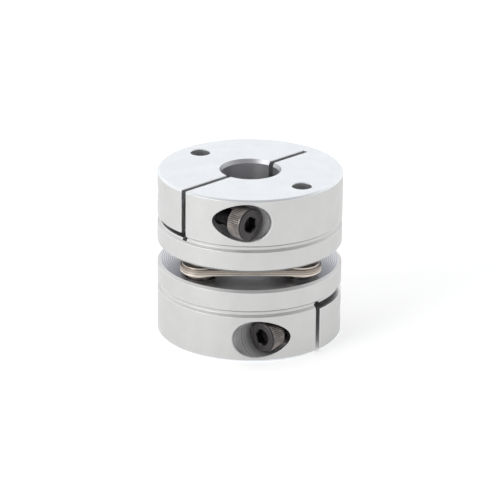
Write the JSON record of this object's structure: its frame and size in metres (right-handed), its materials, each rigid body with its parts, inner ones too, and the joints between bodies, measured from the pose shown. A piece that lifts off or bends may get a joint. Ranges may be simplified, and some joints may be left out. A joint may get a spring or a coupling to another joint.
{
  "type": "flexible shaft coupling",
  "caption": "Flexible shaft coupling with a clamp hub at each end, a side screw in each, and a thin laminated disc pack bolted between the hubs.",
  "frame": {"origin": "centre of the lower bore at the lower hub's outer end face, which the coupling stands on", "axes": "+Z along the shafts from the lower hub to the upper hub, +X to the right and +Y away from the side that shows both clamp screws' heads"},
  "size_m": [0.032, 0.0343, 0.0293],
  "materials": {
    "hub_aluminium": "clear anodised, fine satin outside and turned ends",
    "disc_steel": "rolled stainless spring steel",
    "collar_steel": "turned steel",
    "washer_steel": "bright plain steel",
    "pack_screw_steel": "black oxide",
    "clamp_screw_steel": "black oxide, knurled head"
  },
  "bodies": {
    "lower_side": {"lower_hub": "hub_aluminium", "lower_collar_front": "collar_steel", "lower_collar_back": "collar_steel", "lower_washer_front": "washer_steel", "lower_washer_back": "washer_steel", "lower_pack_screw_front": "pack_screw_steel", "lower_pack_screw_back": "pack_screw_steel"},
    "pack_lower": {"disc_01": "disc_steel", "disc_02": "disc_steel", "disc_03": "disc_steel", "disc_04": "disc_steel", "disc_05": "disc_steel"},
    "pack_upper": {"disc_06": "disc_steel", "disc_07": "disc_steel", "disc_08": "disc_steel", "disc_09": "disc_steel", "disc_10": "disc_steel"},
    "upper_side": {"upper_hub": "hub_aluminium", "upper_collar_front": "collar_steel", "upper_collar_back": "collar_steel", "upper_washer_front": "washer_steel", "upper_washer_back": "washer_steel", "upper_pack_screw_front": "pack_screw_steel", "upper_pack_screw_back": "pack_screw_steel"},
    "upper_clamp_screw": {"upper_clamp_screw": "clamp_screw_steel"},
    "lower_clamp_screw": {"lower_clamp_screw": "clamp_screw_steel"}
  },
  "joints": [
    {"name": "lower_pack_bend", "type": "hinge", "parent": "lower_side", "child": "pack_lower", "pos_m": [0, 0, 0.01465], "axis": [0.7254, -0.6884, 0], "range_deg": [-1, 1], "stiffness_Nm_per_rad": 5},
    {"name": "pack_float", "type": "slide", "parent": "pack_lower", "child": "pack_upper", "axis": [0, 0, 1], "range_m": [-0.0002, 0.0002], "stiffness_N_per_m": 50000, "deforming": ["disc_01", "disc_02", "disc_03", "disc_04", "disc_05", "disc_06", "disc_07", "disc_08", "disc_09", "disc_10"]},
    {"name": "upper_pack_bend", "type": "hinge", "parent": "pack_upper", "child": "upper_side", "pos_m": [0, 0, 0.01465], "axis": [-0.6884, -0.7254, 0], "range_deg": [-1, 1], "stiffness_Nm_per_rad": 5},
    {"name": "upper_clamp_screw_travel", "type": "slide", "parent": "upper_side", "child": "upper_clamp_screw", "axis": [0.7071, -0.7071, 0], "range_m": [-0.00375, 0.0027]},
    {"name": "lower_clamp_screw_travel", "type": "slide", "parent": "lower_side", "child": "lower_clamp_screw", "axis": [-0.6691, -0.7431, 0], "range_m": [-0.00155, 0.0049]}
  ]
}
